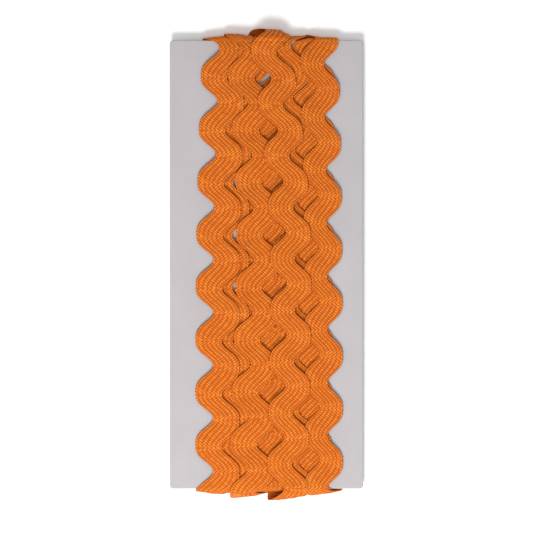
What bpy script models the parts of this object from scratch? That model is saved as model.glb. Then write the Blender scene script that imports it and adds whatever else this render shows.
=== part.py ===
"""Ric rac trim wound lengthwise round a flat card, lying on its back.

X runs across the card, Y along it and Z up, away from the surface that it lies on.
The origin is under the middle of the whole thing, on that surface.
"""
import math
from collections import namedtuple

import bmesh
import bpy
import numpy as np

MM = 0.001

# The card
CARD_WIDTH = 56.0 * MM
CARD_LENGTH = 130.0 * MM
CARD_THICKNESS = 0.9 * MM
CARD_CORNER = 0.9 * MM
CARD_CORNER_SEGMENTS = 3
CARD_EDGE_ROUND = 0.25 * MM
CARD_EDGE_SEGMENTS = 2
CARD_EDGE_ANGLE = math.radians(60.0)

# The trim, 12.7 mm from lobe to lobe
LOBE_REACH = 6.35 * MM
VALLEY_REACH = 1.25 * MM
LOBE_FULLNESS = 3.5
WAVE_LENGTH = 15.1 * MM
TRIM_THICKNESS = 0.65 * MM
TRIM_EDGE_ROUND = 0.5 * MM
TRIM_EDGE_THINNING = 0.85

# The winding
CLEARANCE = 0.3 * MM
BEND_CENTRE_INSET = 0.35 * MM
BEND_MIDLINE_RADIUS = 2.4 * MM
BEND_SQUEEZE = 0.66
SQUEEZE_SPREAD = 9.0 * MM
LOOP_SPREAD = 8.0 * MM
LOOP_DROOP = 0.42
BACK_DEPTH = 2.3 * MM
SEEN_LENGTH = 26.0 * MM
LEAD_LENGTH = 12.0 * MM
SETTLE_RADIUS = 2.0 * MM
JOIN_LENGTH = 6.0 * MM

# Steps of the grid on which the passes are laid
STEP_ACROSS = 0.25 * MM
GRID_MARGIN = 3.0 * MM
RUN_STEPS = 258
BEND_STEPS = 12
WIDTH_SAMPLES = 13

# The loft through the finished heap
LOFT_STRIDE = 3
STEP_SLOPE = 0.2 * MM
COLUMNS_BETWEEN_STEPS = (2, 2, 1, 2, 1, 2)
LEAST_COLUMN = 0.1 * MM
FRONT_SOFTENING = 0.3 * MM
BACK_SOFTENING = 1.0 * MM
EVEN_AFTER = 15.0 * MM
WALL_HEIGHT = 0.26 * MM
WALL_INSET = 0.2 * MM

# Linear colours
ORANGE = (0.72, 0.17, 0.022)
GREY = (0.55, 0.52, 0.54)

Pass = namedtuple("Pass", "name x_top lean x_low lobe period width skew top_loop low_loop")

# The front passes in the order in which they are wound, in millimetres.
# x_top and x_low are the centre's place at the card's two ends, and lean is its drift to the
# right for each millimetre down from the top. lobe is the height above the card's middle of
# one left lobe, width scales the 12.7 mm, skew slants the lobes, and the loops stand off the
# card's ends.
PASSES = (
    Pass("under_right", 13.4, 0.00, 12.5, 60.8, 15.1, 1.00, 0.3, 0.0, 0.2),
    Pass("under_middle", 4.6, -0.07, 1.5, 48.9, 15.1, 1.00, 0.3, 0.0, 0.3),
    Pass("under_left", -6.5, 0.10, -6.0, 50.6, 15.1, 1.00, 0.3, 0.0, 0.1),
    Pass("under_far_left", -8.6, -0.06, -10.4, 54.6, 15.3, 0.95, 0.6, 0.0, 0.2),
    Pass("far_left", -12.3, -0.035, -14.2, 54.5, 15.31, 1.00, 0.72, 0.0, 0.2),
    Pass("left", -5.5, 0.08, -4.2, 54.2, 15.17, 1.00, 0.58, 0.2, 0.7),
    Pass("behind_middle", 5.7, 0.045, 8.0, 63.4, 15.08, 1.00, 0.29, 0.0, 0.3),
    Pass("far_right", 15.4, 0.020, 16.6, 58.4, 15.37, 0.865, 1.0, 0.0, 0.4),
    Pass("middle", 1.2, 0.130, 6.2, 61.3, 14.88, 0.925, 0.43, 1.65, 1.0),
)

# The passes that lie on top and make the steps that show, from the left
STEPPED_PASSES = ("left", "middle", "far_right")

RUN_HALF = CARD_LENGTH / 2 - BEND_CENTRE_INSET
BEND_RADIUS = CARD_THICKNESS / 2 + CLEARANCE
MIDDLE_HEIGHT = BACK_DEPTH + BEND_RADIUS
BEND_LENGTH = math.pi * BEND_MIDLINE_RADIUS
RUN_LENGTH = 2 * RUN_HALF
TURN_LENGTH = RUN_LENGTH + 2 * BEND_LENGTH
LAP_LENGTH = RUN_LENGTH + TURN_LENGTH
ROWS = 2 * (RUN_STEPS + BEND_STEPS)
STEP_ALONG = RUN_LENGTH / RUN_STEPS
WIDTH_SHARES = np.linspace(0.0, 1.0, WIDTH_SAMPLES)


def smooth(share):
    """Ease from 0 to 1, level at both ends."""
    share = np.clip(share, 0.0, 1.0)
    return share * share * (3.0 - 2.0 * share)


def hermite(share, start, start_slope, end, end_slope):
    """Curve through two values with the slopes given for the whole span."""
    leave = share * (1.0 - share) ** 2
    arrive = share * share * (share - 1.0)
    return start + (end - start) * smooth(share) + start_slope * leave + end_slope * arrive


def lap_distances():
    """Distance along one lap at each grid row: down the front, round, up the back and round."""
    run = np.linspace(0.0, RUN_LENGTH, RUN_STEPS, endpoint=False)
    bend = np.linspace(0.0, BEND_LENGTH, BEND_STEPS, endpoint=False)
    back_start = RUN_LENGTH + BEND_LENGTH
    return np.concatenate((run, RUN_LENGTH + bend, back_start + run, back_start + RUN_LENGTH + bend))


DISTANCE = lap_distances()
FRONT = np.arange(ROWS) < RUN_STEPS
ACROSS = np.arange(-CARD_WIDTH / 2 + GRID_MARGIN, CARD_WIDTH / 2 - GRID_MARGIN + STEP_ACROSS, STEP_ACROSS)
TO_LOW_BEND = np.abs(DISTANCE - RUN_LENGTH - BEND_LENGTH / 2)
TO_TOP_BEND = LAP_LENGTH / 2 - np.abs(DISTANCE + BEND_LENGTH / 2 - LAP_LENGTH / 2)
TAUTNESS = 1.0 - BEND_SQUEEZE * smooth(1.0 - np.minimum(TO_LOW_BEND, TO_TOP_BEND) / SQUEEZE_SPREAD)


def half_width(angle):
    """Reach of the band from its centre line: broad lobes and sharp valleys."""
    fullness = 1.0 - np.abs(np.sin(angle / 2.0)) ** LOBE_FULLNESS
    return VALLEY_REACH + (LOBE_REACH - VALLEY_REACH) * fullness


def front_centre(trim_pass, down):
    """Centre line of a front pass, straight where it leans and easing to its low end."""
    lean_end = trim_pass.x_top * MM + trim_pass.lean * SEEN_LENGTH
    rest = RUN_LENGTH - SEEN_LENGTH
    share = np.clip((down - SEEN_LENGTH) / rest, 0.0, 1.0)
    eased = hermite(share, lean_end, trim_pass.lean * rest, trim_pass.x_low * MM, 0.0)
    return np.where(down < SEEN_LENGTH, trim_pass.x_top * MM + trim_pass.lean * down, eased)


def front_phase(trim_pass, down):
    """Angle of the wave, zero at a left lobe."""
    return 2.0 * math.pi * (down - (RUN_HALF - trim_pass.lobe * MM)) / (trim_pass.period * MM)


def edges(centre, phase, width, skew):
    """Left and right edge of the band."""
    slant = math.pi * skew * MM / WAVE_LENGTH
    left = centre - width * half_width(phase + slant)
    right = centre + width * half_width(phase - slant + math.pi)
    return left, right


def front_band(trim_pass):
    """Edges of a front pass at each of its rows."""
    down = DISTANCE[FRONT]
    phase = front_phase(trim_pass, down)
    return edges(front_centre(trim_pass, down), phase, trim_pass.width, trim_pass.skew)


def turn_band(leaving, joining):
    """Edges on the way up the back, from the low end of one front pass to the top of the next."""
    along = DISTANCE[~FRONT] - RUN_LENGTH
    share = along / TURN_LENGTH
    low_slack = math.pi * leaving.low_loop * MM
    top_slack = math.pi * joining.top_loop * MM
    trim_along = along + low_slack * np.clip(along / BEND_LENGTH, 0.0, 1.0)
    trim_along += top_slack * np.clip((along - TURN_LENGTH) / BEND_LENGTH + 1.0, 0.0, 1.0)
    trim_length = TURN_LENGTH + low_slack + top_slack
    first_phase = front_phase(leaving, RUN_LENGTH)
    last_phase = front_phase(joining, 0.0)
    waves = round((trim_length / WAVE_LENGTH) - (last_phase - first_phase) / (2.0 * math.pi))
    gained = last_phase + 2.0 * math.pi * waves - first_phase
    phase = first_phase + gained * trim_along / trim_length
    lean = joining.lean * TURN_LENGTH if joining is not leaving else 0.0
    centre = hermite(share, leaving.x_low * MM, 0.0, joining.x_top * MM, lean)
    width = leaving.width + share * (joining.width - leaving.width)
    skew = leaving.skew + share * (joining.skew - leaving.skew)
    return edges(centre, phase, width, skew)


def loop_heights(low_loop, top_loop):
    """How far the trim stands off at each row and sample, most at the bends and least at its right edge."""
    low = low_loop * MM * smooth(1.0 - TO_LOW_BEND / LOOP_SPREAD)
    top = top_loop * MM * smooth(1.0 - TO_TOP_BEND / LOOP_SPREAD)
    return (low + top)[:, None] * smooth((1.0 - WIDTH_SHARES) / LOOP_DROOP)[None, :]


def spread(field, axis, reach, combine):
    """Combine each cell with its neighbours up to a reach along one axis."""
    shifted = [np.roll(field, offset, axis) for offset in range(-reach, reach + 1)]
    return combine(np.array(shifted), axis=0)


def spread_evenly(surface, radius, combine):
    """Combine each cell with all within a radius, both ways."""
    surface = spread(surface, 0, round(radius / STEP_ALONG), combine)
    return spread(surface, 1, round(radius / STEP_ACROSS), combine)


def settled(surface):
    """Height at which the next pass lies: over all that is there, and smooth."""
    return spread_evenly(spread_evenly(surface, SETTLE_RADIUS, np.max), SETTLE_RADIUS, np.mean)


def band_profile(width):
    """Thickness at each sample across a band, rounded off at both edges."""
    inward = np.minimum(WIDTH_SHARES, 1.0 - WIDTH_SHARES)[None, :] * width[:, None]
    off = np.clip(1.0 - inward / TRIM_EDGE_ROUND, 0.0, 1.0)
    return TRIM_THICKNESS * np.sqrt(1.0 - TRIM_EDGE_THINNING * off * off)


Stretch = namedtuple("Stretch", "name rows left right loops")


def list_stretches():
    """The tucked start, and then each front pass and the turn up the back that follows it."""
    front_rows = np.flatnonzero(FRONT)
    turn_rows = np.flatnonzero(~FRONT)
    lead = DISTANCE[turn_rows] > LAP_LENGTH - BEND_LENGTH - LEAD_LENGTH
    tail = DISTANCE[turn_rows] < RUN_LENGTH + BEND_LENGTH + LEAD_LENGTH
    whole = np.ones(len(turn_rows), bool)
    first, last = PASSES[0], PASSES[-1]
    left, right = turn_band(first, first)
    loops = loop_heights(0.0, first.top_loop)
    stretches = [Stretch("start", turn_rows[lead], left[lead], right[lead], loops)]
    for trim_pass, following in zip(PASSES, PASSES[1:] + (last,)):
        left, right = front_band(trim_pass)
        loops = loop_heights(trim_pass.low_loop, trim_pass.top_loop)
        stretches.append(Stretch(trim_pass.name, front_rows, left, right, loops))
        kept = tail if trim_pass is last else whole
        left, right = turn_band(trim_pass, following)
        loops = loop_heights(trim_pass.low_loop, following.top_loop)
        name = trim_pass.name + "_turn"
        stretches.append(Stretch(name, turn_rows[kept], left[kept], right[kept], loops))
    return stretches


def lay_stretch(surface, stretch, previous_end):
    """Places across, underside and top of one stretch that rests on the surface."""
    places = stretch.left[:, None] + WIDTH_SHARES[None, :] * (stretch.right - stretch.left)[:, None]
    ground = settled(surface)
    under = np.array([np.interp(x, ACROSS, ground[row]) for x, row in zip(places, stretch.rows)])
    if previous_end is not None:
        along = np.arange(len(stretch.rows)) * STEP_ALONG
        under += (1.0 - smooth(along / JOIN_LENGTH))[:, None] * (previous_end - under[0])[None, :]
    thickness = band_profile(stretch.right - stretch.left) * TAUTNESS[stretch.rows][:, None]
    return places, under, under + stretch.loops[stretch.rows] + thickness


def heap(surface, rows, places, top):
    """Raise the surface to the top of a stretch that lies on it."""
    for row, across, heights in zip(rows, places, top):
        inside = (ACROSS >= across[0]) & (ACROSS <= across[-1])
        surface[row, inside] = np.maximum(surface[row, inside], np.interp(ACROSS[inside], across, heights))


def wind_trim(stretches):
    """Lay every stretch in order. A stretch never rests on the one just before it."""
    surface = np.zeros((ROWS, len(ACROSS)))
    waiting = None
    end = None
    for stretch in stretches:
        places, under, top = lay_stretch(surface, stretch, end)
        end = under[-1]
        if waiting is not None:
            heap(surface, *waiting)
        waiting = (stretch.rows, places, top)
    heap(surface, *waiting)
    return surface


def outer_edges(stretches):
    """Leftmost and rightmost edge of the winding at each row."""
    left = np.full(ROWS, np.inf)
    right = np.full(ROWS, -np.inf)
    for stretch in stretches:
        left[stretch.rows] = np.minimum(left[stretch.rows], stretch.left)
        right[stretch.rows] = np.maximum(right[stretch.rows], stretch.right)
    return left, right


def lap_edges(stretches, name):
    """Edges of a front pass and, on the back, of the nearer of the turns that lead to it and from it."""
    left = np.full(ROWS, np.nan)
    right = np.full(ROWS, np.nan)
    index = [stretch.name for stretch in stretches].index(name)
    back_middle = RUN_LENGTH + TURN_LENGTH / 2
    before, own, after = stretches[index - 1:index + 2]
    for stretch, end in ((before, LAP_LENGTH), (own, LAP_LENGTH), (after, back_middle)):
        wanted = DISTANCE[stretch.rows] < end
        left[stretch.rows[wanted]] = stretch.left[wanted]
        right[stretch.rows[wanted]] = stretch.right[wanted]
    return left, right


def stepped_columns(steps, left, right):
    """Columns across the heap, with a close pair at each step from one pass down to another."""
    starts = [left + TRIM_EDGE_ROUND] + [step + STEP_SLOPE for step in steps]
    ends = [step - STEP_SLOPE for step in steps] + [right - TRIM_EDGE_ROUND]
    columns = [left]
    for start, end, count in zip(starts, ends, COLUMNS_BETWEEN_STEPS):
        columns += np.linspace(start, end, count + 2).tolist()
    columns.append(right)
    return np.array(columns)


def pass_steps(edges_by_pass, row):
    """Where the top passes step down at one row, from the left."""
    near_left, middle, far_right = (edges_by_pass[name] for name in STEPPED_PASSES)
    left_end = min(near_left[1][row], middle[0][row] - 2 * STEP_SLOPE)
    right_start = max(far_right[0][row], middle[1][row] + 2 * STEP_SLOPE)
    return near_left[0][row], left_end, middle[0][row], middle[1][row], right_start


def in_order(columns):
    """Columns in order, no closer than the least width, both ends kept."""
    least_steps = LEAST_COLUMN * np.arange(len(columns))
    rising = np.maximum.accumulate(columns - least_steps) + least_steps
    return np.minimum(rising, columns[-1] - least_steps[::-1])


def is_loft_row(row):
    """Every third row on the runs, and every row on the bends."""
    step = row % (RUN_STEPS + BEND_STEPS)
    return step >= RUN_STEPS or step % LOFT_STRIDE == 0


def back_evenness(row):
    """0 on the front and the bends, rising to 1 on the back, where the heap is pressed smooth."""
    back_start = RUN_LENGTH + BEND_LENGTH
    into_back = min(DISTANCE[row] - back_start, back_start + RUN_LENGTH - DISTANCE[row])
    return float(smooth(into_back / EVEN_AFTER))


def loft_columns(stretches):
    """Row, places across the winding and evenness of each loft section."""
    left, right = outer_edges(stretches)
    edges_by_pass = {name: lap_edges(stretches, name) for name in STEPPED_PASSES}
    count = 2 + sum(between + 2 for between in COLUMNS_BETWEEN_STEPS)
    placed = []
    for row in filter(is_loft_row, range(ROWS)):
        evenness = back_evenness(row)
        columns = np.linspace(left[row], right[row], count)
        if evenness < 1.0:
            stepped = stepped_columns(pass_steps(edges_by_pass, row), left[row], right[row])
            columns = stepped + evenness * (columns - stepped)
        placed.append((row, in_order(columns), evenness))
    return placed


def wrap(row, across, height):
    """Place points by grid row, place across and height over the winding's inside."""
    distance = DISTANCE[row]
    reach = BEND_RADIUS + height
    down = min(distance, RUN_LENGTH)
    up = np.clip(distance - RUN_LENGTH - BEND_LENGTH, 0.0, RUN_LENGTH)
    low_angle = math.pi * np.clip((distance - RUN_LENGTH) / BEND_LENGTH, 0.0, 1.0)
    top_angle = math.pi * np.clip((distance - LAP_LENGTH) / BEND_LENGTH + 1.0, 0.0, 1.0)
    along = RUN_HALF - down + up - reach * math.sin(low_angle) + reach * math.sin(top_angle)
    rise = MIDDLE_HEIGHT + reach * math.cos(low_angle + top_angle)
    return np.stack((across, along, np.maximum(rise, 0.0)), axis=-1)


def finish_mesh(name, builder, collection, material):
    """Turn a bmesh into an object of the collection."""
    mesh = bpy.data.meshes.new(name)
    bmesh.ops.recalc_face_normals(builder, faces=builder.faces)
    builder.to_mesh(mesh)
    builder.free()
    mesh.materials.append(material)
    item = bpy.data.objects.new(name, mesh)
    collection.objects.link(item)
    return item


def build_winding(collection, material):
    """Loft a closed ring through the rows of the wound trim."""
    stretches = list_stretches()
    surface = wind_trim(stretches)
    soft_front = spread_evenly(surface, FRONT_SOFTENING, np.mean)
    soft_back = spread_evenly(surface, BACK_SOFTENING, np.mean)
    builder = bmesh.new()
    sections = []
    for row, columns, evenness in loft_columns(stretches):
        softened = soft_front[row] + evenness * (soft_back[row] - soft_front[row])
        heights = np.maximum(np.interp(columns, ACROSS, softened), WALL_HEIGHT)
        heights[[0, -1]] = WALL_HEIGHT
        inner = np.array([columns[-1] - WALL_INSET, columns[0] + WALL_INSET])
        places = np.concatenate((wrap(row, columns, heights), wrap(row, inner, np.zeros(2))))
        sections.append([builder.verts.new(place) for place in places])
    for section, following in zip(sections, sections[1:] + sections[:1]):
        for index in range(len(section)):
            after = (index + 1) % len(section)
            builder.faces.new((section[index], section[after], following[after], following[index]))
    return finish_mesh("trim_winding", builder, collection, material)


def build_card(collection, material):
    """A plain board with softly rounded corners and edges."""
    builder = bmesh.new()
    bmesh.ops.create_cube(builder, size=1.0)
    bmesh.ops.scale(builder, vec=(CARD_WIDTH, CARD_LENGTH, CARD_THICKNESS), verts=builder.verts)
    bmesh.ops.translate(builder, vec=(0.0, 0.0, MIDDLE_HEIGHT), verts=builder.verts)
    upright = [edge for edge in builder.edges if edge.calc_length() < CARD_THICKNESS * 1.5]
    bmesh.ops.bevel(builder, geom=upright, offset=CARD_CORNER, segments=CARD_CORNER_SEGMENTS,
                    profile=0.5, affect="EDGES")
    card = finish_mesh("card", builder, collection, material)
    rounding = card.modifiers.new("edge_round", "BEVEL")
    rounding.width = CARD_EDGE_ROUND
    rounding.segments = CARD_EDGE_SEGMENTS
    rounding.limit_method = "ANGLE"
    rounding.angle_limit = CARD_EDGE_ANGLE
    return card


def centre_lengthwise(items):
    """Bring the middle of the whole length over the origin."""
    places = [vertex.co.y for item in items for vertex in item.data.vertices]
    for item in items:
        item.location.y = -(min(places) + max(places)) / 2


def plain_material(name, colour, roughness):
    """A plain finish: colour, roughness and no metal."""
    material = bpy.data.materials.new(name)
    material.use_nodes = True
    shader = material.node_tree.nodes["Principled BSDF"]
    shader.inputs["Base Color"].default_value = (*colour, 1.0)
    shader.inputs["Roughness"].default_value = roughness
    shader.inputs["Metallic"].default_value = 0.0
    return material


def clear_scene():
    """Remove every object of the scene."""
    for item in list(bpy.data.objects):
        bpy.data.objects.remove(item, do_unlink=True)


def main():
    """Build the card and the trim wound round it."""
    clear_scene()
    collection = bpy.data.collections.new("ric_rac_on_card")
    bpy.context.scene.collection.children.link(collection)
    card = build_card(collection, plain_material("grey_board", GREY, 0.85))
    winding = build_winding(collection, plain_material("orange_braid", ORANGE, 0.8))
    centre_lengthwise((card, winding))


main()
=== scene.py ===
"""Ric rac wound on a card: every pass of trim with its stitches, the board, the floor and the light."""

import math
from collections import namedtuple

import bmesh
import bpy
import numpy as np
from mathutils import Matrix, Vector


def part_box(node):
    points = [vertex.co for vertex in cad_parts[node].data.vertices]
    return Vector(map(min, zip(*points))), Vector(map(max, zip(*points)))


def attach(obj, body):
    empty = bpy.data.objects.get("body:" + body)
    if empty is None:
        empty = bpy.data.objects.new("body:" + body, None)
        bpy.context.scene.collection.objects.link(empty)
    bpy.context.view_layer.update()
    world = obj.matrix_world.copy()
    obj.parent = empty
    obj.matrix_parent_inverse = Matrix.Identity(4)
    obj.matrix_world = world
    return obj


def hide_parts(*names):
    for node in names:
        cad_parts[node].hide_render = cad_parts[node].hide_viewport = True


bl_info = {
    "name": "Ric rac on a card",
    "version": (1, 0, 0),
    "blender": (4, 5, 0),
    "location": "View3D > Sidebar > Ric rac",
    "description": "Winds ric rac round a card, stitch by stitch",
    "category": "Add Mesh",
}

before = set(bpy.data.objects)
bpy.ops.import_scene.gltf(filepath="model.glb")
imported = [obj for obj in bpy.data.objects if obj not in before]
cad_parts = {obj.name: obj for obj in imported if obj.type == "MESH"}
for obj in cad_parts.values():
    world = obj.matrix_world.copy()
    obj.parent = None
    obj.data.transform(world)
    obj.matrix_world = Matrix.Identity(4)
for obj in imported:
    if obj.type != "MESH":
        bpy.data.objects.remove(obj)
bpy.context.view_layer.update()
CARD_LOW, CARD_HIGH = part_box("card")

MM = 0.001

# The photograph's frame: an even, straight-down view
FRAME_PIXELS = 533
MM_PER_PIXEL = 0.29
CARD_MIDDLE_PIXEL_Y = 264.5

# The trim's wave
LOBE_REACH = 6.35 * MM
VALLEY_REACH = 1.25 * MM
LOBE_FULLNESS = 3.5
WAVE_LENGTH = 15.1 * MM
LAYER_THICKNESS = 0.65 * MM
LAYER_EDGE_ROUND = 0.5 * MM
LAYER_EDGE_THINNING = 0.85

# How it is wound
CLEARANCE = 0.3 * MM
BEND_CENTRE_INSET = 0.35 * MM
BEND_MIDLINE_RADIUS = 2.4 * MM
LOOP_SPREAD = 8.0 * MM
LOOP_DROOP = 0.42
BEND_SQUEEZE = 0.66
SQUEEZE_SPREAD = 9.0 * MM
SEEN_LENGTH = 26.0 * MM
LEAD_LENGTH = 12.0 * MM
SETTLE_RADIUS = 2.0 * MM
JOIN_LENGTH = 6.0 * MM
BACK_DEPTH = 2.3 * MM
LOOSE_BACK_DEPTH = 1.3 * MM
FULL_BACK_DEPTH = 2.65 * MM

# The grid on which the passes are laid
STEP_ACROSS = 0.25 * MM
GRID_MARGIN = 3.0 * MM
RUN_STEPS = 258
BEND_STEPS = 16
WIDTH_SAMPLES = 13

# The trim's section: five broad ribs of stitches between two narrow turned edges
BROAD_RIBS = 5
EDGE_RIB_SHARE = 0.08

# Its stitches lie in straight rows, slanted one way between a left lobe and a right one and
# the other way after it
STITCH_PITCH = 0.68 * MM
ROW_SLANT = math.radians(38.0)
STITCH_SIDES = 8
STITCH_SINK = 0.02 * MM
HIDING_HEIGHT = 0.3 * MM
LEAST_CROSSING = 0.5
STRAIGHT_DRIFT = 0.6

# One stitch from its middle, for a reach of one each way: rings of radius and height, and its foot
STITCH_RINGS = ((0.72, 0.70), (1.0, 0.0))
STITCH_FOOT = -0.6

# The underside of the trim's body. Its painted shade lies between the grooves' colour, 0, and the crests', 1:
# it is coloured darker than the crests, as shade under the trim.
UNDERSIDE_SHARES = np.array((0.96, 0.5, 0.04))
UNDERSIDE_LIFT = 0.02 * MM
UNDERSIDE_PAINTED_SHADE = 0.5

# Grain of the materials
LINT_SIZE = 0.25 * MM
BOARD_CLOUD_SIZE = 14.0 * MM
BOARD_FLECK_SIZE = 0.7 * MM
BOARD_CLOUD_SHARE = 0.55

# The stage, in metres
FLOOR_HALF = 1.5
KEY_LIGHT_SIZE = 0.24
KEY_LIGHT_PLACE = (-0.07, -0.32, 0.46)
FILL_LIGHT_SIZE = 0.5
FILL_LIGHT_PLACE = (0.0, 0.1, 0.7)
LIGHT_AIM = (0.0, 0.0, 0.0)
CAMERA_HEIGHT = 0.6
NEAREST_SEEN = 0.01

Pass = namedtuple("Pass", "name x_top lean x_low lobe period width skew top_loop low_loop")

# The front passes in the order in which they are wound, in millimetres.
# x_top and x_low are the centre's place at the card's two ends, and lean is its drift to the
# right for each millimetre down from the top. lobe is the height above the card's middle of
# one left lobe, width scales the 12.7 mm, skew slants the lobes, and the loops stand off the
# card's ends.
PASSES = (
    Pass("under_right", 13.4, 0.00, 12.5, 60.8, 15.1, 1.00, 0.3, 0.0, 0.2),
    Pass("under_middle", 4.6, -0.07, 1.5, 48.9, 15.1, 1.00, 0.3, 0.0, 0.3),
    Pass("under_left", -6.5, 0.10, -6.0, 50.6, 15.1, 1.00, 0.3, 0.0, 0.1),
    Pass("under_far_left", -8.6, -0.06, -10.4, 54.6, 15.3, 0.95, 0.6, 0.0, 0.2),
    Pass("far_left", -12.3, -0.035, -14.2, 54.5, 15.31, 1.00, 0.72, 0.0, 0.2),
    Pass("left", -5.5, 0.08, -4.2, 54.2, 15.17, 1.00, 0.58, 0.2, 0.7),
    Pass("behind_middle", 5.7, 0.045, 8.0, 63.4, 15.08, 1.00, 0.29, 0.0, 0.3),
    Pass("far_right", 15.4, 0.020, 16.6, 58.4, 15.37, 0.865, 1.0, 0.0, 0.4),
    Pass("middle", 1.2, 0.130, 6.2, 61.3, 14.88, 0.925, 0.43, 1.65, 1.0),
)

CARD_LENGTH = CARD_HIGH.y - CARD_LOW.y
CARD_MIDDLE = (CARD_LOW + CARD_HIGH) / 2
RUN_HALF = CARD_LENGTH / 2 - BEND_CENTRE_INSET
BEND_RADIUS = (CARD_HIGH.z - CARD_LOW.z) / 2 + CLEARANCE
BEND_LENGTH = math.pi * BEND_MIDLINE_RADIUS
RUN_LENGTH = 2 * RUN_HALF
TURN_LENGTH = RUN_LENGTH + 2 * BEND_LENGTH
LAP_LENGTH = RUN_LENGTH + TURN_LENGTH
ROWS = 2 * (RUN_STEPS + BEND_STEPS)
STEP_ALONG = RUN_LENGTH / RUN_STEPS
WIDTH_SHARES = np.linspace(0.0, 1.0, WIDTH_SAMPLES)
RIB_EDGES = np.array([0.0, *np.linspace(EDGE_RIB_SHARE, 1.0 - EDGE_RIB_SHARE, BROAD_RIBS + 1), 1.0])
RIB_CENTRES = (RIB_EDGES[:-1] + RIB_EDGES[1:]) / 2
RIB_WIDTHS = np.diff(RIB_EDGES)


def smooth(share):
    """Ease from 0 to 1, level at both ends."""
    share = np.clip(share, 0.0, 1.0)
    return share * share * (3.0 - 2.0 * share)


def hermite(share, start, start_slope, end, end_slope):
    """Curve through two values with the slopes given for the whole span."""
    leave = share * (1.0 - share) ** 2
    arrive = share * share * (share - 1.0)
    return start + (end - start) * smooth(share) + start_slope * leave + end_slope * arrive


def lap_distances():
    """Distance along one lap at each grid row: down the front, round, up the back and round."""
    run = np.linspace(0.0, RUN_LENGTH, RUN_STEPS, endpoint=False)
    bend = np.linspace(0.0, BEND_LENGTH, BEND_STEPS, endpoint=False)
    back_start = RUN_LENGTH + BEND_LENGTH
    return np.concatenate((run, RUN_LENGTH + bend, back_start + run, back_start + RUN_LENGTH + bend))


DISTANCE = lap_distances()
FRONT = np.arange(ROWS) < RUN_STEPS
ACROSS = np.arange(CARD_LOW.x + GRID_MARGIN, CARD_HIGH.x - GRID_MARGIN + STEP_ACROSS, STEP_ACROSS)
TO_LOW_BEND = np.abs(DISTANCE - RUN_LENGTH - BEND_LENGTH / 2)
TO_TOP_BEND = LAP_LENGTH / 2 - np.abs(DISTANCE + BEND_LENGTH / 2 - LAP_LENGTH / 2)
TAUTNESS = 1.0 - BEND_SQUEEZE * smooth(1.0 - np.minimum(TO_LOW_BEND, TO_TOP_BEND) / SQUEEZE_SPREAD)


def half_width(angle):
    """Reach of the band from its centre line: broad lobes and sharp valleys."""
    fullness = 1.0 - np.abs(np.sin(angle / 2.0)) ** LOBE_FULLNESS
    return VALLEY_REACH + (LOBE_REACH - VALLEY_REACH) * fullness


def front_centre(trim_pass, down):
    """Centre line of a front pass, straight where it leans and easing to its low end."""
    lean_end = trim_pass.x_top * MM + trim_pass.lean * SEEN_LENGTH
    rest = RUN_LENGTH - SEEN_LENGTH
    share = np.clip((down - SEEN_LENGTH) / rest, 0.0, 1.0)
    eased = hermite(share, lean_end, trim_pass.lean * rest, trim_pass.x_low * MM, 0.0)
    return np.where(down < SEEN_LENGTH, trim_pass.x_top * MM + trim_pass.lean * down, eased)


def front_phase(trim_pass, down):
    """Angle of the wave, zero at a left lobe."""
    return 2.0 * math.pi * (down - (RUN_HALF - trim_pass.lobe * MM)) / (trim_pass.period * MM)


def edges(centre, phase, width, skew):
    """Left and right edge of the band."""
    slant = math.pi * skew * MM / WAVE_LENGTH
    left = centre - width * half_width(phase + slant)
    right = centre + width * half_width(phase - slant + math.pi)
    return left, right


def front_band(trim_pass):
    """Wave angle and edges of a front pass at each row."""
    down = DISTANCE[FRONT]
    phase = front_phase(trim_pass, down)
    return phase, *edges(front_centre(trim_pass, down), phase, trim_pass.width, trim_pass.skew)


def turn_band(leaving, joining):
    """Wave angle and edges up the back, from the low end of one front pass to the top of the next."""
    along = DISTANCE[~FRONT] - RUN_LENGTH
    share = along / TURN_LENGTH
    low_slack = math.pi * leaving.low_loop * MM
    top_slack = math.pi * joining.top_loop * MM
    trim_along = along + low_slack * np.clip(along / BEND_LENGTH, 0.0, 1.0)
    trim_along += top_slack * np.clip((along - TURN_LENGTH) / BEND_LENGTH + 1.0, 0.0, 1.0)
    trim_length = TURN_LENGTH + low_slack + top_slack
    first_phase = front_phase(leaving, RUN_LENGTH)
    last_phase = front_phase(joining, 0.0)
    waves = round((trim_length / WAVE_LENGTH) - (last_phase - first_phase) / (2.0 * math.pi))
    gained = last_phase + 2.0 * math.pi * waves - first_phase
    phase = first_phase + gained * trim_along / trim_length
    lean = joining.lean * TURN_LENGTH if joining is not leaving else 0.0
    centre = hermite(share, leaving.x_low * MM, 0.0, joining.x_top * MM, lean)
    width = leaving.width + share * (joining.width - leaving.width)
    skew = leaving.skew + share * (joining.skew - leaving.skew)
    return phase, *edges(centre, phase, width, skew)


def loop_heights(low_loop, top_loop):
    """How far the trim stands off at each row and sample, most at the bends and least at its right edge."""
    low = low_loop * MM * smooth(1.0 - TO_LOW_BEND / LOOP_SPREAD)
    top = top_loop * MM * smooth(1.0 - TO_TOP_BEND / LOOP_SPREAD)
    return (low + top)[:, None] * smooth((1.0 - WIDTH_SHARES) / LOOP_DROOP)[None, :]


def spread(field, axis, reach, combine):
    """Combine each cell with its neighbours up to a reach along one axis."""
    shifted = [np.roll(field, offset, axis) for offset in range(-reach, reach + 1)]
    return combine(np.array(shifted), axis=0)


def settled(surface):
    """Height at which the next pass lies: over all that is there, and smooth."""
    for combine in (np.max, np.mean):
        surface = spread(surface, 0, round(SETTLE_RADIUS / STEP_ALONG), combine)
        surface = spread(surface, 1, round(SETTLE_RADIUS / STEP_ACROSS), combine)
    return surface


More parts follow.
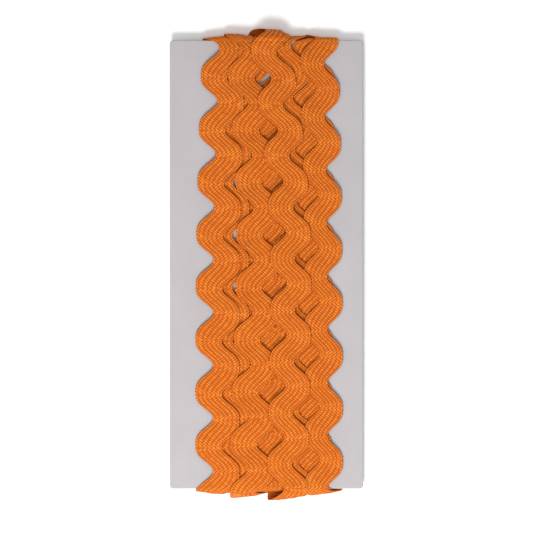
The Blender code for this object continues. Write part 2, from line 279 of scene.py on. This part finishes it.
def band_profile(width):
    """Thickness at each sample across a band, rounded off at both edges."""
    inward = np.minimum(WIDTH_SHARES, 1.0 - WIDTH_SHARES)[None, :] * width[:, None]
    off = np.clip(1.0 - inward / LAYER_EDGE_ROUND, 0.0, 1.0)
    return LAYER_THICKNESS * np.sqrt(1.0 - LAYER_EDGE_THINNING * off * off)


Stretch = namedtuple("Stretch", "lap rows phase left right loops")
Trim = namedtuple("Trim", "lap rows phase left right under along")


def list_stretches():
    """The tucked start, and then each front pass and the turn up the back that follows it."""
    front_rows = np.flatnonzero(FRONT)
    turn_rows = np.flatnonzero(~FRONT)
    lead = DISTANCE[turn_rows] > LAP_LENGTH - BEND_LENGTH - LEAD_LENGTH
    tail = DISTANCE[turn_rows] < RUN_LENGTH + BEND_LENGTH + LEAD_LENGTH
    whole = np.ones(len(turn_rows), bool)
    first, last = PASSES[0], PASSES[-1]
    start = [values[lead] for values in turn_band(first, first)]
    stretches = [Stretch(1, turn_rows[lead], *start, loop_heights(0.0, first.top_loop))]
    for lap, (trim_pass, following) in enumerate(zip(PASSES, PASSES[1:] + (last,)), 1):
        loops = loop_heights(trim_pass.low_loop, trim_pass.top_loop)
        stretches.append(Stretch(lap, front_rows, *front_band(trim_pass), loops))
        kept = tail if trim_pass is last else whole
        turn = [values[kept] for values in turn_band(trim_pass, following)]
        loops = loop_heights(trim_pass.low_loop, following.top_loop)
        stretches.append(Stretch(lap, turn_rows[kept], *turn, loops))
    return stretches


def heap(surface, stretch, top):
    """Raise the surface to the top of a stretch that lies on it."""
    for row, left, right, heights in zip(stretch.rows, stretch.left, stretch.right, top):
        inside = (ACROSS >= left) & (ACROSS <= right)
        raised = np.interp(ACROSS[inside], left + WIDTH_SHARES * (right - left), heights)
        surface[row, inside] = np.maximum(surface[row, inside], raised)


def wind_trim():
    """Lay every stretch in order. Returns the finished surface and the whole trim, row by row."""
    surface = np.zeros((ROWS, len(ACROSS)))
    stretches = list_stretches()
    undersides = []
    waiting = None
    end = None
    for stretch in stretches:
        places = stretch.left[:, None] + WIDTH_SHARES[None, :] * (stretch.right - stretch.left)[:, None]
        ground = settled(surface)
        under = np.array([np.interp(x, ACROSS, ground[row]) for x, row in zip(places, stretch.rows)])
        if end is not None:
            joined = 1.0 - smooth(np.arange(len(stretch.rows)) * STEP_ALONG / JOIN_LENGTH)
            under += joined[:, None] * (end - under[0])[None, :]
        end = under[-1]
        lifted = under + stretch.loops[stretch.rows]
        thickness = band_profile(stretch.right - stretch.left) * TAUTNESS[stretch.rows][:, None]
        if waiting is not None:
            heap(surface, *waiting)
        waiting = (stretch, lifted + thickness)
        undersides.append(lifted)
    heap(surface, *waiting)
    lap = np.concatenate([np.full(len(stretch.rows), stretch.lap) for stretch in stretches])
    rows, phase, left, right = (np.concatenate([getattr(stretch, name) for stretch in stretches])
                                for name in ("rows", "phase", "left", "right"))
    laps_done = np.cumsum(np.diff(DISTANCE[rows], prepend=DISTANCE[rows[0]]) < 0.0)
    along = DISTANCE[rows] + LAP_LENGTH * laps_done
    return surface, Trim(lap, rows, phase, left, right, np.concatenate(undersides), along)


def pressed(height, distance):
    """Height on the back, where the weight presses the heap down to its resting depth."""
    on_back = smooth(np.minimum(distance - RUN_LENGTH, LAP_LENGTH - distance) / BEND_LENGTH)
    ratio = (BACK_DEPTH - LOOSE_BACK_DEPTH) / (FULL_BACK_DEPTH - LOOSE_BACK_DEPTH)
    low = np.where(height > LOOSE_BACK_DEPTH, LOOSE_BACK_DEPTH + (height - LOOSE_BACK_DEPTH) * ratio, height)
    return height + on_back * (low - height)


def wrap(distance, across, height):
    """Places in space, from the distance along a lap, the place across and the height over the inside."""
    distance = np.broadcast_to(distance, height.shape)
    reach = BEND_RADIUS + pressed(height, distance)
    low_angle = np.clip((distance - RUN_LENGTH) / BEND_LENGTH, 0.0, 1.0) * math.pi
    top_angle = np.clip((distance - LAP_LENGTH) / BEND_LENGTH + 1.0, 0.0, 1.0) * math.pi
    down = np.clip(distance, 0.0, RUN_LENGTH)
    up = np.clip(distance - RUN_LENGTH - BEND_LENGTH, 0.0, RUN_LENGTH)
    along = RUN_HALF - down + up - reach * np.sin(low_angle) + reach * np.sin(top_angle)
    out = reach * np.cos(low_angle + top_angle)
    rise = np.maximum(CARD_MIDDLE.z + out, 0.0)
    return np.stack((CARD_MIDDLE.x + across, CARD_MIDDLE.y + along, rise), axis=-1)


def linear(hex_colour):
    """An sRGB hex colour as linear red, green, blue and alpha."""
    parts = [int(hex_colour[index:index + 2], 16) / 255.0 for index in (1, 3, 5)]
    light = [part / 12.92 if part <= 0.04045 else ((part + 0.055) / 1.055) ** 2.4 for part in parts]
    return (*light, 1.0)


def add_node(tree, kind, settings=None, links=None):
    """Add a node, set its properties and sockets, and link its inputs."""
    node = tree.nodes.new(kind)
    for name, value in (settings or {}).items():
        if isinstance(name, str) and name in node.bl_rna.properties:
            setattr(node, name, value)
        else:
            node.inputs[name].default_value = value
    for name, source in (links or {}).items():
        tree.links.new(source, node.inputs[name])
    return node


def new_material(name):
    """An empty node material."""
    material = bpy.data.materials.new(name)
    material.use_nodes = True
    material.node_tree.nodes.clear()
    return material, material.node_tree


def colour_ramp(tree, source, stops):
    """A ramp between hex colours, read from a factor."""
    ramp = add_node(tree, "ShaderNodeValToRGB", links={"Fac": source})
    elements = ramp.color_ramp.elements
    while len(elements) < len(stops):
        elements.new(0.5)
    for element, (place, colour) in zip(elements, stops):
        element.position = place
        element.color = linear(colour)
    return ramp


def close_material(tree, shader):
    """Link a shader to the output."""
    add_node(tree, "ShaderNodeOutputMaterial", links={"Surface": shader.outputs["BSDF"]})


def plaited_ground_material(settings):
    """Spun polyester braid seen between its stitches: matt, with painted shade: the yarn's orange darkened to
    a deep orange between the stitches, and darker still in the grooves and at the edges.
    """
    material, tree = new_material("polyester_braid_ground")
    # Painted shade: the colour runs from the darkest painted shade in the grooves and at the edges, 0, to the
    # braid's painted shade colour on the crests, 1.
    rib = add_node(tree, "ShaderNodeAttribute", {"attribute_name": "rib_height"})
    ramp = colour_ramp(tree, rib.outputs["Fac"],
                       ((0.0, settings.groove_painted_shade_colour), (1.0, settings.braid_painted_shade_colour)))
    place = add_node(tree, "ShaderNodeTexCoord")
    lint = add_node(tree, "ShaderNodeTexNoise", {"Scale": 1.0 / LINT_SIZE, "Detail": 3.0},
                    {"Vector": place.outputs["Object"]})
    bump = add_node(tree, "ShaderNodeBump", {"Strength": 0.5, "Distance": 0.05 * MM},
                    {"Height": lint.outputs["Fac"]})
    shader = add_node(tree, "ShaderNodeBsdfPrincipled",
                      {"Roughness": 0.85, "Specular IOR Level": 0.15,
                       "Sheen Weight": 0.05, "Sheen Roughness": 0.5},
                      {"Base Color": ramp.outputs["Color"], "Normal": bump.outputs["Normal"]})
    close_material(tree, shader)
    return material


def stitch_material(settings):
    """Textured polyester yarn: satin floats, bright orange, with filaments along each stitch."""
    material, tree = new_material("textured_polyester_yarn")
    tone = add_node(tree, "ShaderNodeAttribute", {"attribute_name": "yarn_tone"})
    ramp = colour_ramp(tree, tone.outputs["Fac"],
                       ((0.0, settings.yarn_dark), (0.5, settings.yarn_colour), (1.0, settings.yarn_light)))
    along = add_node(tree, "ShaderNodeUVMap", {"uv_map": "float_uv"})
    filament = add_node(tree, "ShaderNodeTexWave",
                        {"wave_type": "BANDS", "bands_direction": "Y", "Scale": 1.6, "Distortion": 2.0},
                        {"Vector": along.outputs["UV"]})
    bump = add_node(tree, "ShaderNodeBump", {"Strength": 0.35, "Distance": 0.04 * MM},
                    {"Height": filament.outputs["Fac"]})
    shader = add_node(tree, "ShaderNodeBsdfPrincipled",
                      {"Roughness": 0.65, "Specular IOR Level": 0.22,
                       "Sheen Weight": 0.08, "Sheen Roughness": 0.4},
                      {"Base Color": ramp.outputs["Color"], "Normal": bump.outputs["Normal"]})
    close_material(tree, shader)
    return material


def board_material(settings):
    """Uncoated grey paperboard: matt, faintly mottled, with fine fibres pressed flat."""
    material, tree = new_material("uncoated_grey_paperboard")
    place = add_node(tree, "ShaderNodeTexCoord")
    cloud = add_node(tree, "ShaderNodeTexNoise",
                     {"Scale": 1.0 / BOARD_CLOUD_SIZE, "Detail": 4.0, "Roughness": 0.55},
                     {"Vector": place.outputs["Object"]})
    fleck = add_node(tree, "ShaderNodeTexNoise",
                     {"Scale": 1.0 / BOARD_FLECK_SIZE, "Detail": 6.0, "Roughness": 0.7},
                     {"Vector": place.outputs["Object"]})
    scaled = add_node(tree, "ShaderNodeMath", {"operation": "MULTIPLY", 1: 1.0 - BOARD_CLOUD_SHARE},
                      {0: fleck.outputs["Fac"]})
    mix = add_node(tree, "ShaderNodeMath", {"operation": "MULTIPLY_ADD", 1: BOARD_CLOUD_SHARE},
                   {0: cloud.outputs["Fac"], 2: scaled.outputs[0]})
    ramp = colour_ramp(tree, mix.outputs[0], ((0.3, settings.board_dark), (0.7, settings.board_light)))
    bump = add_node(tree, "ShaderNodeBump", {"Strength": 0.3, "Distance": 0.06 * MM},
                    {"Height": fleck.outputs["Fac"]})
    shader = add_node(tree, "ShaderNodeBsdfPrincipled",
                      {"Roughness": 0.8, "Specular IOR Level": 0.3},
                      {"Base Color": ramp.outputs["Color"], "Normal": bump.outputs["Normal"]})
    close_material(tree, shader)
    return material


def floor_material(settings):
    """Plain matt paint, nearly white."""
    material, tree = new_material("matt_white_floor")
    shader = add_node(tree, "ShaderNodeBsdfPrincipled", {
        "Base Color": linear(settings.floor_colour), "Roughness": 0.9, "Specular IOR Level": 0.1})
    close_material(tree, shader)
    return material


class RicRacTrimSettings(bpy.types.PropertyGroup):
    """Sizes and colours of the trim."""
    ground_height: bpy.props.FloatProperty(
        name="Ground height", description="Thickness of the braid under its stitches",
        default=0.50 * MM, subtype="DISTANCE", unit="LENGTH")
    groove_depth: bpy.props.FloatProperty(
        name="Groove depth", description="Depth of the grooves between ribs",
        default=0.11 * MM, subtype="DISTANCE", unit="LENGTH")
    stitch_rise: bpy.props.FloatProperty(
        name="Stitch rise", description="Height of a stitch over the middle of its rib",
        default=0.12 * MM, subtype="DISTANCE", unit="LENGTH")
    stitch_length: bpy.props.FloatProperty(
        name="Stitch length", description="Share of the rib's width that a stitch fills", default=1.0)
    stitch_width: bpy.props.FloatProperty(
        name="Stitch width", description="Share of the row spacing that a stitch fills", default=0.92)
    lobe_overlap: bpy.props.FloatProperty(
        name="Lobe overlap", description="How much further stitches reach into the next rib at the lobes",
        default=0.5)
    unevenness: bpy.props.FloatProperty(
        name="Unevenness", description="How much stitches differ in size", default=0.12)
    yarn_colour: bpy.props.StringProperty(
        name="Yarn colour", description="sRGB hex colour of the stitches", default="#D47017")
    yarn_dark: bpy.props.StringProperty(
        name="Dark yarn", description="sRGB hex colour of the dullest stitches", default="#CA6511")
    yarn_light: bpy.props.StringProperty(
        name="Light yarn", description="sRGB hex colour of the brightest stitches", default="#DA7A1E")
    # Painted shade: the braid between the stitches is coloured darker than the yarn, as shade between the
    # stitches.
    braid_painted_shade_colour: bpy.props.StringProperty(
        name="Braid painted shade colour", description="sRGB hex colour of the braid under the stitches",
        default="#BE5C11")
    # Painted shade: the grooves and the edges of the braid are coloured darker still, as shade in the
    # recesses.
    groove_painted_shade_colour: bpy.props.StringProperty(
        name="Groove painted shade colour", description="sRGB hex colour at the bottom of the grooves", default="#AA510D")


class RicRacStageSettings(bpy.types.PropertyGroup):
    """Colours of the board and the floor, and the light's strength."""
    board_dark: bpy.props.StringProperty(
        name="Board dark", description="sRGB hex colour of the board's darker mottling", default="#A09B9C")
    board_light: bpy.props.StringProperty(
        name="Board light", description="sRGB hex colour of the board's lighter mottling", default="#A9A5A7")
    floor_colour: bpy.props.StringProperty(
        name="Floor colour", description="sRGB hex colour of the floor", default="#FAFAFA")
    key_power: bpy.props.FloatProperty(
        name="Key light", description="Power of the large light past the card's low end",
        default=3.6, unit="POWER")
    fill_power: bpy.props.FloatProperty(
        name="Fill light", description="Power of the overhead light", default=1.7, unit="POWER")
    sky_strength: bpy.props.FloatProperty(
        name="Sky", description="Strength of the even light all round", default=0.36)


def unit(vectors):
    """Vectors scaled to length one."""
    return vectors / np.maximum(np.linalg.norm(vectors, axis=-1, keepdims=True), 1e-12)


def lay_columns(trim, shares, heights):
    """Places in space, places across and heights of columns along the whole trim."""
    across = trim.left[:, None] + shares[None, :] * (trim.right - trim.left)[:, None]
    under = np.array([np.interp(shares, WIDTH_SHARES, row) for row in trim.under])
    height = under + heights[None, :] * TAUTNESS[trim.rows][:, None]
    return wrap(DISTANCE[trim.rows][:, None], across, height), across, height


def section_columns(settings):
    """Places across the trim's body, their heights, and the painted shade's factor: 1 at a crest, 0 in a
    groove or at an edge, where the darkest shade is painted.
    """
    rim = EDGE_RIB_SHARE / 4
    shares = np.sort(np.concatenate((RIB_EDGES, RIB_CENTRES, (rim, 1.0 - rim))))
    grooves = np.isin(shares, RIB_EDGES)
    heights = np.where(grooves, settings.ground_height - settings.groove_depth, settings.ground_height)
    heights[[0, -1]] = settings.ground_height / 2
    return shares, heights, np.where(grooves, 0.0, 1.0)


def build_ground(trim, lap, settings, material):
    """The braid's body for one lap: a thin ribbed band, closed all round and met by the next lap's."""
    own = np.flatnonzero(trim.lap == lap)
    own = np.append(own, min(own[-1] + 1, len(trim.lap) - 1)) if lap < len(PASSES) else own
    stretch = Trim(*(values[own] for values in trim))
    shares, heights, crests = section_columns(settings)
    top, _, _ = lay_columns(stretch, shares, heights)
    below, _, _ = lay_columns(stretch, UNDERSIDE_SHARES, np.full(len(UNDERSIDE_SHARES), UNDERSIDE_LIFT))
    points = np.concatenate((top, below), axis=1)
    rows, count = points.shape[:2]
    index = np.arange(rows * count).reshape(rows, count)
    after = np.roll(index, -1, axis=1)
    faces = np.stack((index[:-1], index[1:], after[1:], after[:-1]), axis=-1).reshape(-1, 4).tolist()
    faces.append(index[0].tolist())
    faces.append(index[-1][::-1].tolist())
    mesh = bpy.data.meshes.new(f"trim_pass_{lap}")
    mesh.from_pydata(points.reshape(-1, 3).tolist(), [], faces)
    # Painted shade: 0 in the grooves and at the edges, 1 on the crests, and the underside in between.
    rib = mesh.attributes.new("rib_height", "FLOAT", "POINT")
    # Painted shade: the underside takes a colour between the grooves' and the crests', as shade under the
    # trim.
    painted_shades = np.concatenate((crests, np.full(len(UNDERSIDE_SHARES), UNDERSIDE_PAINTED_SHADE)))
    rib.data.foreach_set("value", np.tile(painted_shades, rows))
    mesh.materials.append(material)
    mesh.shade_smooth()
    item = bpy.data.objects.new(mesh.name, mesh)
    bpy.context.scene.collection.objects.link(item)
    outward(item)
    return item


def outward(item):
    """Turn every face of a closed mesh outwards."""
    builder = bmesh.new()
    builder.from_mesh(item.data)
    bmesh.ops.recalc_face_normals(builder, faces=builder.faces)
    if builder.calc_volume(signed=True) < 0.0:
        bmesh.ops.reverse_faces(builder, faces=builder.faces)
    builder.to_mesh(item.data)
    builder.free()


def stitch_rows(trim):
    """Where stitches lie along each rib, as places in the trim's rows, with the rib and the slant's side."""
    across = trim.left[:, None] + RIB_CENTRES[None, :] * (trim.right - trim.left)[:, None]
    middle = (trim.left + trim.right) / 2
    side = np.where(np.floor(trim.phase / math.pi) % 2 == 0, 1.0, -1.0)
    starts = np.concatenate(([0], np.flatnonzero(np.diff(side)) + 1, [len(side) - 1]))
    counted = 0.0
    found = []
    for first, last in zip(starts, starts[1:]):
        span = np.arange(first, last + 1)
        slant = side[first] * math.sin(ROW_SLANT)
        down = trim.along[span] * math.cos(ROW_SLANT)
        number = (slant * across[span] + down[:, None]) / STITCH_PITCH
        middle_number = (slant * middle[span] + down) / STITCH_PITCH
        number += counted - middle_number[0]
        counted += middle_number[-1] - middle_number[0]
        for rib in range(len(RIB_CENTRES)):
            whole = np.arange(math.ceil(number[0, rib]), math.ceil(number[-1, rib]))
            places = np.interp(whole, number[:, rib], span)
            found.append(np.stack((places, np.full(len(whole), rib), np.full(len(whole), side[first]))))
    return np.concatenate(found, axis=1)


def between_rows(values, places, ribs):
    """Values at places between the trim's rows."""
    low = np.floor(places).astype(int)
    high = np.minimum(low + 1, len(values) - 1)
    share = (places - low).reshape(-1, *[1] * (values.ndim - 2))
    return values[low, ribs] * (1.0 - share) + values[high, ribs] * share


def place_stitches(surface, trim, settings):
    """Lap, centre, float direction, outward direction and cell size of each stitch that shows."""
    seat = np.full(len(RIB_CENTRES), settings.ground_height - STITCH_SINK)
    points, across, height = lay_columns(trim, RIB_CENTRES, seat)
    cover = np.array([np.interp(x, ACROSS, surface[row]) for x, row in zip(across, trim.rows)])
    path = np.gradient(points, axis=0) / np.gradient(trim.along)[:, None, None]
    level = np.broadcast_to(unit(points[:, -1:] - points[:, :1]), points.shape)
    places, ribs, side = stitch_rows(trim)
    ribs = ribs.astype(int)
    hidden = between_rows(cover - height, places, ribs)
    shown = hidden < HIDING_HEIGHT
    places, ribs, side = places[shown], ribs[shown], side[shown]
    centre, path, level = (between_rows(values, places, ribs) for values in (points, path, level))
    level = unit(level)
    drift = np.sum(path * level, axis=-1)
    onward = path - drift[:, None] * level
    advance = np.linalg.norm(onward, axis=-1)
    onward = unit(onward)
    lie = level * math.cos(ROW_SLANT) - onward * (side * math.sin(ROW_SLANT))[:, None]
    rows = np.round(places).astype(int)
    rib_width = (trim.right - trim.left)[rows] * RIB_WIDTHS[ribs]
    crossing = np.maximum(math.cos(ROW_SLANT) + side * drift * math.sin(ROW_SLANT), LEAST_CROSSING)
    at_lobe = 1.0 - smooth(np.abs(drift) / STRAIGHT_DRIFT)
    length = rib_width / crossing * (1.0 + settings.lobe_overlap * at_lobe)
    rise = (1.0 + TAUTNESS[trim.rows[rows]]) / 2
    cells = np.stack((length, STITCH_PITCH * advance, rise), axis=-1)
    return trim.lap[np.floor(places).astype(int)], centre, lie, np.cross(onward, level), cells


def stitch_seed_mesh():
    """One stitch: a small closed oval float, one unit long, wide and high from its middle."""
    builder = bmesh.new()
    float_uv = builder.loops.layers.uv.new("float_uv")
    crown = builder.verts.new((0.0, 0.0, 1.0))
    foot = builder.verts.new((0.0, 0.0, STITCH_FOOT))
    circles = []
    for radius, rise in STITCH_RINGS:
        turns = [2.0 * math.pi * side / STITCH_SIDES for side in range(STITCH_SIDES)]
        circles.append([builder.verts.new((radius * math.cos(a), radius * math.sin(a), rise)) for a in turns])
    for side in range(STITCH_SIDES):
        after = (side + 1) % STITCH_SIDES
        builder.faces.new((crown, circles[0][side], circles[0][after]))
        builder.faces.new((circles[0][side], circles[1][side], circles[1][after], circles[0][after]))
        builder.faces.new((circles[1][side], foot, circles[1][after]))
    for face in builder.faces:
        face.smooth = True
        for loop in face.loops:
            loop[float_uv].uv = loop.vert.co.xy
    mesh = bpy.data.meshes.new("stitch_seed")
    builder.to_mesh(mesh)
    builder.free()
    return mesh


def stitching_tree():
    """Geometry nodes: one stitch on every point, turned and sized by the point's own values."""
    tree = bpy.data.node_groups.new("Ric rac stitches", "GeometryNodeTree")
    face = tree.interface
    face.new_socket("Geometry", in_out="INPUT", socket_type="NodeSocketGeometry")
    face.new_socket("Stitch", in_out="INPUT", socket_type="NodeSocketObject")
    for name in ("Length", "Width", "Rise", "Unevenness"):
        face.new_socket(name, in_out="INPUT", socket_type="NodeSocketFloat")
    face.new_socket("Seed", in_out="INPUT", socket_type="NodeSocketInt")
    face.new_socket("Yarn", in_out="INPUT", socket_type="NodeSocketMaterial")
    face.new_socket("Geometry", in_out="OUTPUT", socket_type="NodeSocketGeometry")
    given = add_node(tree, "NodeGroupInput").outputs
    seed = add_node(tree, "GeometryNodeObjectInfo", {"transform_space": "ORIGINAL"},
                    {"Object": given["Stitch"]})
    lie, out, cell = (
        add_node(tree, "GeometryNodeInputNamedAttribute", {"data_type": "FLOAT_VECTOR", "Name": name})
        for name in ("float_way", "outward_way", "cell"))
    turn = add_node(tree, "FunctionNodeAxesToRotation", {"primary_axis": "Z", "secondary_axis": "X"},
                    {"Primary Axis": out.outputs["Attribute"], "Secondary Axis": lie.outputs["Attribute"]})
    wanted = add_node(tree, "ShaderNodeCombineXYZ", links={
        "X": given["Length"], "Y": given["Width"], "Z": given["Rise"]})
    size = add_node(tree, "ShaderNodeVectorMath", {"operation": "MULTIPLY"},
                    {0: cell.outputs["Attribute"], 1: wanted.outputs["Vector"]})
    less = add_node(tree, "ShaderNodeMath", {"operation": "SUBTRACT", 0: 1.0}, {1: given["Unevenness"]})
    chance = add_node(tree, "FunctionNodeRandomValue", {"data_type": "FLOAT"}, {"Seed": given["Seed"]})
    tree.links.new(less.outputs[0], chance.inputs[2])
    chance.inputs[3].default_value = 1.0
    uneven = add_node(tree, "ShaderNodeVectorMath", {"operation": "SCALE"},
                      {0: size.outputs["Vector"], "Scale": chance.outputs[1]})
    placed = add_node(tree, "GeometryNodeInstanceOnPoints", links={
        "Points": given["Geometry"], "Instance": seed.outputs["Geometry"],
        "Rotation": turn.outputs["Rotation"], "Scale": uneven.outputs["Vector"]})
    shift = add_node(tree, "ShaderNodeMath", {"operation": "ADD", 1: 1.0}, {0: given["Seed"]})
    tone = add_node(tree, "FunctionNodeRandomValue", {"data_type": "FLOAT"}, {"Seed": shift.outputs[0]})
    stored = add_node(tree, "GeometryNodeStoreNamedAttribute",
                      {"data_type": "FLOAT", "domain": "INSTANCE", "Name": "yarn_tone"},
                      {"Geometry": placed.outputs["Instances"], "Value": tone.outputs[1]})
    real = add_node(tree, "GeometryNodeRealizeInstances", links={"Geometry": stored.outputs["Geometry"]})
    yarn = add_node(tree, "GeometryNodeSetMaterial", links={
        "Geometry": real.outputs["Geometry"], "Material": given["Yarn"]})
    add_node(tree, "NodeGroupOutput", links={"Geometry": yarn.outputs["Geometry"]})
    return tree


def set_input(modifier, name, value):
    """Set a geometry nodes input by its socket's identifier."""
    for socket in modifier.node_group.interface.items_tree:
        if socket.item_type == "SOCKET" and socket.in_out == "INPUT" and socket.name == name:
            modifier[socket.identifier] = value
            return
    raise RuntimeError(f"no input called {name}")


def build_stitches(placed, lap, settings, tree, seed_object, material):
    """The stitches of one lap as a plain mesh."""
    laps, *values = placed
    points, lie, out, cells = (array[laps == lap] for array in values)
    cloud = bpy.data.meshes.new(f"stitch_points_{lap}")
    cloud.from_pydata(points.tolist(), [], [])
    for name, values in (("float_way", lie), ("outward_way", out), ("cell", cells)):
        attribute = cloud.attributes.new(name, "FLOAT_VECTOR", "POINT")
        attribute.data.foreach_set("vector", values.astype(np.float32).ravel())
    holder = bpy.data.objects.new(cloud.name, cloud)
    bpy.context.scene.collection.objects.link(holder)
    modifier = holder.modifiers.new("stitches", "NODES")
    modifier.node_group = tree
    set_input(modifier, "Stitch", seed_object)
    set_input(modifier, "Length", settings.stitch_length / 2)
    set_input(modifier, "Width", settings.stitch_width / 2)
    set_input(modifier, "Rise", settings.stitch_rise)
    set_input(modifier, "Unevenness", settings.unevenness)
    set_input(modifier, "Seed", lap)
    set_input(modifier, "Yarn", material)
    evaluated = holder.evaluated_get(bpy.context.evaluated_depsgraph_get())
    mesh = bpy.data.meshes.new_from_object(evaluated)
    mesh.name = f"trim_stitches_{lap}"
    bpy.data.objects.remove(holder, do_unlink=True)
    bpy.data.meshes.remove(cloud)
    places = np.empty(len(mesh.vertices) * 3, np.float32)
    mesh.vertices.foreach_get("co", places)
    places[2::3] = np.maximum(places[2::3], 0.0)
    mesh.vertices.foreach_set("co", places)
    mesh.shade_smooth()
    mesh.update()
    item = bpy.data.objects.new(mesh.name, mesh)
    bpy.context.scene.collection.objects.link(item)
    return item


def stand_for_winding(item):
    """Make a piece ride on the part and stand for the plain winding."""
    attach(item, "root")
    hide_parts("trim_winding")


class RICRAC_OT_wind_trim(bpy.types.Operator):
    """Lay the trim's ribbed body, one piece for each lap"""
    bl_idname = "ricrac.wind_trim"
    bl_label = "Wind the trim"

    def execute(self, context):
        settings = context.scene.ric_rac_trim
        material = plaited_ground_material(settings)
        _, trim = wind_trim()
        for lap in range(1, len(PASSES) + 1):
            stand_for_winding(build_ground(trim, lap, settings, material))
        return {"FINISHED"}


class RICRAC_OT_stitch_trim(bpy.types.Operator):
    """Set the stitches that show on every lap"""
    bl_idname = "ricrac.stitch_trim"
    bl_label = "Stitch the trim"

    def execute(self, context):
        settings = context.scene.ric_rac_trim
        material = stitch_material(settings)
        surface, trim = wind_trim()
        placed = place_stitches(surface, trim, settings)
        tree = stitching_tree()
        seed_object = bpy.data.objects.new("stitch_seed", stitch_seed_mesh())
        context.scene.collection.objects.link(seed_object)
        for lap in range(1, len(PASSES) + 1):
            stand_for_winding(build_stitches(placed, lap, settings, tree, seed_object, material))
        bpy.data.objects.remove(seed_object, do_unlink=True)
        bpy.data.node_groups.remove(tree)
        return {"FINISHED"}


class RICRAC_OT_finish_board(bpy.types.Operator):
    """Give the card its paperboard finish"""
    bl_idname = "ricrac.finish_board"
    bl_label = "Finish the board"

    def execute(self, context):
        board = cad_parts["card"]
        material = board_material(context.scene.ric_rac_stage)
        for slot in board.material_slots:
            slot.material = material
        return {"FINISHED"}


def add_area_light(name, power, size, place):
    """A soft square light aimed at the part."""
    light = bpy.data.lights.new(name, "AREA")
    light.energy = power
    light.size = size
    item = bpy.data.objects.new(name, light)
    item.location = place
    item.rotation_euler = (Vector(LIGHT_AIM) - Vector(place)).to_track_quat("-Z", "Y").to_euler()
    bpy.context.scene.collection.objects.link(item)


class RICRAC_OT_set_stage(bpy.types.Operator):
    """Add the floor, the lights and the straight-down camera"""
    bl_idname = "ricrac.set_stage"
    bl_label = "Set the stage"

    def execute(self, context):
        settings = context.scene.ric_rac_stage
        scene = context.scene
        builder = bmesh.new()
        bmesh.ops.create_grid(builder, x_segments=1, y_segments=1, size=FLOOR_HALF)
        mesh = bpy.data.meshes.new("floor")
        builder.to_mesh(mesh)
        builder.free()
        mesh.materials.append(floor_material(settings))
        floor = bpy.data.objects.new("floor", mesh)
        scene.collection.objects.link(floor)
        add_area_light("key_light", settings.key_power, KEY_LIGHT_SIZE, KEY_LIGHT_PLACE)
        add_area_light("fill_light", settings.fill_power, FILL_LIGHT_SIZE, FILL_LIGHT_PLACE)
        world = bpy.data.worlds.new("even_sky")
        world.use_nodes = True
        background = world.node_tree.nodes["Background"]
        background.inputs["Color"].default_value = (1.0, 1.0, 1.0, 1.0)
        background.inputs["Strength"].default_value = settings.sky_strength
        scene.world = world
        scene.view_settings.view_transform = "Standard"
        lens = bpy.data.cameras.new("camera")
        lens.type = "ORTHO"
        lens.ortho_scale = FRAME_PIXELS * MM_PER_PIXEL * MM
        lens.clip_start = NEAREST_SEEN
        camera = bpy.data.objects.new("camera", lens)
        below_card_middle = (FRAME_PIXELS / 2 - CARD_MIDDLE_PIXEL_Y) * MM_PER_PIXEL * MM
        camera.location = (0.0, CARD_MIDDLE.y - below_card_middle, CAMERA_HEIGHT)
        scene.collection.objects.link(camera)
        scene.camera = camera
        return {"FINISHED"}


class RICRAC_PT_panel(bpy.types.Panel):
    """Buttons for each piece"""
    bl_idname = "RICRAC_PT_panel"
    bl_label = "Ric rac on a card"
    bl_space_type = "VIEW_3D"
    bl_region_type = "UI"
    bl_category = "Ric rac"

    def draw(self, context):
        for operator in OPERATORS:
            self.layout.operator(operator.bl_idname)
        for group in (context.scene.ric_rac_trim, context.scene.ric_rac_stage):
            for name in group.__annotations__:
                self.layout.prop(group, name)


OPERATORS = (RICRAC_OT_wind_trim, RICRAC_OT_stitch_trim, RICRAC_OT_finish_board, RICRAC_OT_set_stage)
CLASSES = (RicRacTrimSettings, RicRacStageSettings, *OPERATORS, RICRAC_PT_panel)


def register():
    for cls in CLASSES:
        bpy.utils.register_class(cls)
    bpy.types.Scene.ric_rac_trim = bpy.props.PointerProperty(type=RicRacTrimSettings)
    bpy.types.Scene.ric_rac_stage = bpy.props.PointerProperty(type=RicRacStageSettings)


def unregister():
    del bpy.types.Scene.ric_rac_stage
    del bpy.types.Scene.ric_rac_trim
    for cls in reversed(CLASSES):
        bpy.utils.unregister_class(cls)


def main():
    register()
    bpy.ops.ricrac.set_stage()
    bpy.ops.ricrac.wind_trim()
    bpy.ops.ricrac.stitch_trim()
    bpy.ops.ricrac.finish_board()


if __name__ == "__main__":
    main()
